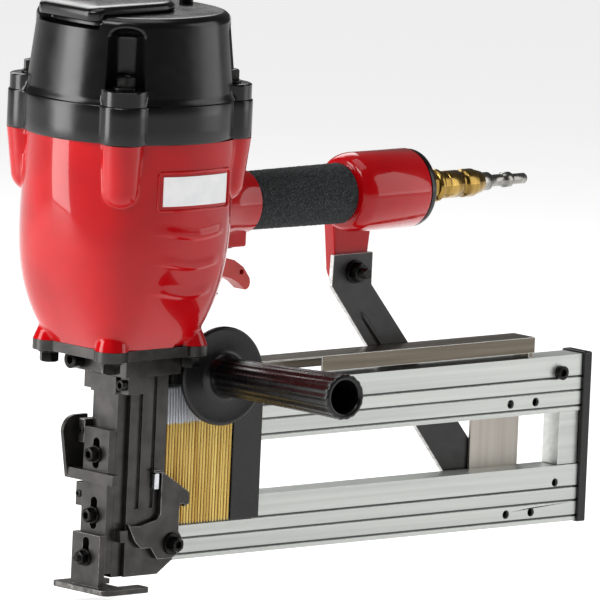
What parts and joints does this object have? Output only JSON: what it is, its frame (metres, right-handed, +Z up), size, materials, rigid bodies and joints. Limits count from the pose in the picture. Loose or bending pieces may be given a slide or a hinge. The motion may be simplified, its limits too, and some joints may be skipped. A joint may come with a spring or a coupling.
{
  "type": "pneumatic long-staple nailer",
  "caption": "Pneumatic stapling nailer with a tall cylinder head, rear handle with air fitting, side handle, two-rail staple magazine and sprung safety foot.",
  "frame": {"origin": "centre of the foot's underside, under the solid front part of its sole and 16 mm in front of the drive line", "axes": "+Z up the drive line towards the head, +X towards the magazine's rear end and the air plug, -Y towards the side handle"},
  "size_m": [0.554, 0.2639, 0.448],
  "materials": {
    "red_paint": "glossy red enamel over a casting",
    "trigger_red": "satin red enamel",
    "black_paint": "satin black powder coat",
    "black_steel": "blackened steel, slightly oily",
    "bolt_steel": "black oxide fasteners",
    "aluminium": "satin natural anodised extrusion",
    "bright_steel": "ground or nickel-plated steel",
    "channel_steel": "oiled spring steel, faintly brown",
    "black_rubber": "textured black rubber",
    "black_plastic": "satin black plastic",
    "brass": "turned brass, slightly tarnished",
    "staple_wire": "galvanised wire with yellow resin on the lower legs"
  },
  "bodies": {
    "tool": {"main_housing": "red_paint", "rear_handle": "red_paint", "head_ring": "black_paint", "cylinder_cap": "black_paint", "exhaust_deflector": "black_paint", "rear_end_plate": "black_paint", "strap": "black_paint", "base_flange": "black_steel", "nose_body": "black_steel", "nose_front": "black_steel", "guide_block_1": "black_steel", "guide_block_2": "black_steel", "aux_bracket": "black_steel", "deflector_screw": "bolt_steel", "cap_bolt_1": "bolt_steel", "cap_bolt_2": "bolt_steel", "cap_bolt_3": "bolt_steel", "cap_bolt_4": "bolt_steel", "base_bolt_1": "bolt_steel", "base_bolt_2": "bolt_steel", "base_bolt_3": "bolt_steel", "base_bolt_4": "bolt_steel", "nose_screw_1": "bolt_steel", "nose_screw_2": "bolt_steel", "slide_bolt_1": "bolt_steel", "slide_bolt_2": "bolt_steel", "latch_bolt": "bolt_steel", "rail_screw": "bolt_steel", "strap_bolt": "bolt_steel", "strap_foot_bolt": "bolt_steel", "trigger_pin": "bolt_steel", "trigger_valve_body": "bolt_steel", "upper_rail": "aluminium", "lower_rail": "aluminium", "rail_spacer": "aluminium", "cylinder_sleeve": "bright_steel", "head_valve_spring": "bright_steel", "valve_spring": "bright_steel", "contact_spring": "bright_steel", "connecting_plate": "bright_steel", "cover_channel": "channel_steel", "handle_grip": "black_rubber", "bumper": "black_rubber", "tail_cap": "black_plastic", "aux_handle": "black_plastic", "air_inlet_hex": "brass", "staple_strip": "staple_wire"},
    "trigger_lever": {"trigger": "trigger_red"},
    "stem": {"valve_stem": "bright_steel"},
    "driver": {"piston": "aluminium", "driver_blade": "bright_steel"},
    "main_valve": {"head_valve": "black_plastic"},
    "contact": {"contact_slide": "black_steel", "foot_bolt": "bolt_steel"},
    "foot": {"contact_foot": "black_steel"},
    "pusher_carriage": {"pusher": "black_steel", "pusher_spring": "bright_steel"},
    "latch": {"latch_lever": "black_steel"},
    "air_swivel": {"swivel_body": "brass", "air_plug": "bright_steel"}
  },
  "joints": [
    {"name": "trigger_squeeze", "type": "hinge", "parent": "tool", "child": "trigger_lever", "pos_m": [0.094, 0, 0.241], "axis": [0, -1, 0], "range_deg": [0, 14], "stiffness_Nm_per_rad": 0.6, "springref_deg": -5.73},
    {"name": "stem_push", "type": "slide", "parent": "tool", "child": "stem", "axis": [0, 0, 1], "range_m": [0, 0.0038], "deforming": ["valve_spring"]},
    {"name": "piston_stroke", "type": "slide", "parent": "tool", "child": "driver", "axis": [0, 0, -1], "range_m": [0, 0.145]},
    {"name": "head_valve_lift", "type": "slide", "parent": "tool", "child": "main_valve", "axis": [0, 0, 1], "range_m": [0, 0.004], "stiffness_N_per_m": 1500, "springref_m": -0.006, "deforming": ["head_valve_spring"]},
    {"name": "contact_press", "type": "slide", "parent": "tool", "child": "contact", "axis": [0, 0, 1], "range_m": [0, 0.0055], "stiffness_N_per_m": 400, "springref_m": -0.01, "deforming": ["contact_spring"]},
    {"name": "foot_height", "type": "slide", "parent": "contact", "child": "foot", "axis": [0, 0, 1], "range_m": [-0.01, 0.001]},
    {"name": "pusher_travel", "type": "slide", "parent": "tool", "child": "pusher_carriage", "axis": [1, 0, 0], "range_m": [0, 0.225], "stiffness_N_per_m": 20, "springref_m": -0.3},
    {"name": "latch_swing", "type": "hinge", "parent": "tool", "child": "latch", "pos_m": [0.057, -0.02, 0.034], "axis": [0, 1, 0], "range_deg": [0, 20]},
    {"name": "air_swivel_turn", "type": "hinge", "parent": "tool", "child": "air_swivel", "pos_m": [0.352, 0, 0.287], "axis": [1, 0, 0], "continuous": true}
  ],
  "couplings": [
    {"joint": "stem_push", "follows": "trigger_squeeze", "m_per_rad": 0.015}
  ]
}
